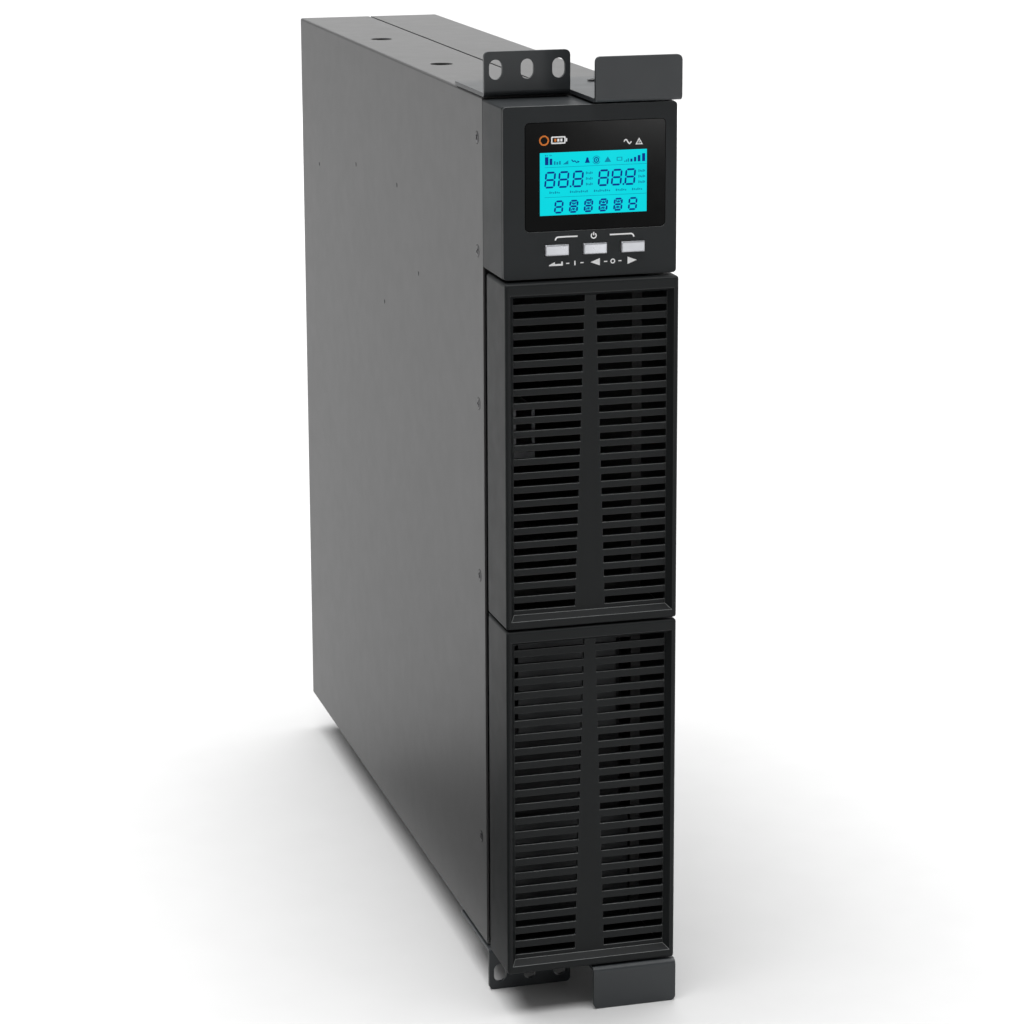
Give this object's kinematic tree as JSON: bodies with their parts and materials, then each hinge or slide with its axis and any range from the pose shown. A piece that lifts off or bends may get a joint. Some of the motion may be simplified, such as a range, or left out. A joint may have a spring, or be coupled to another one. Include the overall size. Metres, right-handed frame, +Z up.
{
  "type": "uninterruptible power supply",
  "caption": "Rack or tower uninterruptible power supply with pull-out display, louvred front covers, rack brackets, fans and rear outlets.",
  "frame": {"origin": "centre of the box in X and Y, at the lower rack bracket's bottom edges, with the unit standing as a tower", "axes": "+X right seen from the front, across the narrow width; -Y out of the front; +Z up along the 19 inch direction"},
  "size_m": [0.088, 0.484, 0.4826],
  "materials": {
    "chassis_paint": "satin",
    "bracket_paint": "satin",
    "black_plastic": "satin",
    "window_gloss": "gloss",
    "screen": "gloss",
    "button_silver": "satin",
    "zinc_steel": "satin",
    "board_green": "satin",
    "heatsink_aluminium": "satin",
    "winding_copper": "satin",
    "battery_case": "matte",
    "capacitor_sleeve": "gloss"
  },
  "bodies": {
    "chassis": {"left_shell": "chassis_paint", "right_shell": "chassis_paint", "front_frame": "chassis_paint", "rear_panel": "chassis_paint", "card_slot_cover": "chassis_paint", "top_bracket": "bracket_paint", "bottom_bracket": "bracket_paint", "battery_tray": "bracket_paint", "battery_retainer": "bracket_paint", "fan_frame_1": "black_plastic", "fan_frame_2": "black_plastic", "outlet_block_left": "black_plastic", "outlet_block_right": "black_plastic", "ac_inlet": "black_plastic", "breaker_body": "black_plastic", "battery_connector": "black_plastic", "bay_divider": "zinc_steel", "retainer_screw_left": "zinc_steel", "retainer_screw_right": "zinc_steel", "fan_guard_1": "zinc_steel", "fan_guard_2": "zinc_steel", "serial_port": "zinc_steel", "usb_port": "zinc_steel", "top_bracket_screw_left": "zinc_steel", "top_bracket_screw_right": "zinc_steel", "bottom_bracket_screw_left": "zinc_steel", "bottom_bracket_screw_right": "zinc_steel", "side_screw_left_1": "zinc_steel", "side_screw_left_2": "zinc_steel", "side_screw_left_3": "zinc_steel", "side_screw_left_4": "zinc_steel", "side_screw_left_5": "zinc_steel", "side_screw_right_1": "zinc_steel", "side_screw_right_2": "zinc_steel", "side_screw_right_3": "zinc_steel", "side_screw_right_4": "zinc_steel", "side_screw_right_5": "zinc_steel", "main_board": "board_green", "heatsink_upper": "heatsink_aluminium", "heatsink_lower": "heatsink_aluminium", "choke_coil": "winding_copper", "battery_1": "battery_case", "battery_2": "battery_case", "battery_3": "battery_case", "transformer": "battery_case", "capacitor_1": "capacitor_sleeve", "capacitor_2": "capacitor_sleeve"},
    "display": {"display_housing": "black_plastic", "display_face": "black_plastic", "display_window": "window_gloss", "lcd_panel": "screen", "display_board": "board_green"},
    "enter_key": {"button_enter": "button_silver"},
    "left_key": {"button_left": "button_silver"},
    "right_key": {"button_right": "button_silver"},
    "mid_cover": {"mid_cover": "black_plastic"},
    "lower_cover": {"lower_cover": "black_plastic"},
    "upper_fan": {"fan_rotor_1": "battery_case"},
    "lower_fan": {"fan_rotor_2": "battery_case"},
    "breaker_key": {"breaker_button": "button_silver"}
  },
  "joints": [
    {"name": "display_slide", "type": "slide", "parent": "chassis", "child": "display", "axis": [0, -1, 0], "range_m": [0, 0.045]},
    {"name": "enter_press", "type": "slide", "parent": "display", "child": "enter_key", "axis": [0, 1, 0], "range_m": [0, 0.0012], "stiffness_N_per_m": 400},
    {"name": "left_press", "type": "slide", "parent": "display", "child": "left_key", "axis": [0, 1, 0], "range_m": [0, 0.0012], "stiffness_N_per_m": 400},
    {"name": "right_press", "type": "slide", "parent": "display", "child": "right_key", "axis": [0, 1, 0], "range_m": [0, 0.0012], "stiffness_N_per_m": 400},
    {"name": "mid_cover_pull", "type": "slide", "parent": "chassis", "child": "mid_cover", "axis": [0, -1, 0], "range_m": [0, 0.06]},
    {"name": "lower_cover_pull", "type": "slide", "parent": "chassis", "child": "lower_cover", "axis": [0, -1, 0], "range_m": [0, 0.06]},
    {"name": "upper_fan_spin", "type": "hinge", "parent": "chassis", "child": "upper_fan", "pos_m": [0, 0.225, 0.4103], "axis": [0, 1, 0], "continuous": true},
    {"name": "lower_fan_spin", "type": "hinge", "parent": "chassis", "child": "lower_fan", "pos_m": [0, 0.225, 0.3243], "axis": [0, 1, 0], "continuous": true},
    {"name": "breaker_press", "type": "slide", "parent": "chassis", "child": "breaker_key", "axis": [0, -1, 0], "range_m": [0, 0.002], "stiffness_N_per_m": 800}
  ]
}
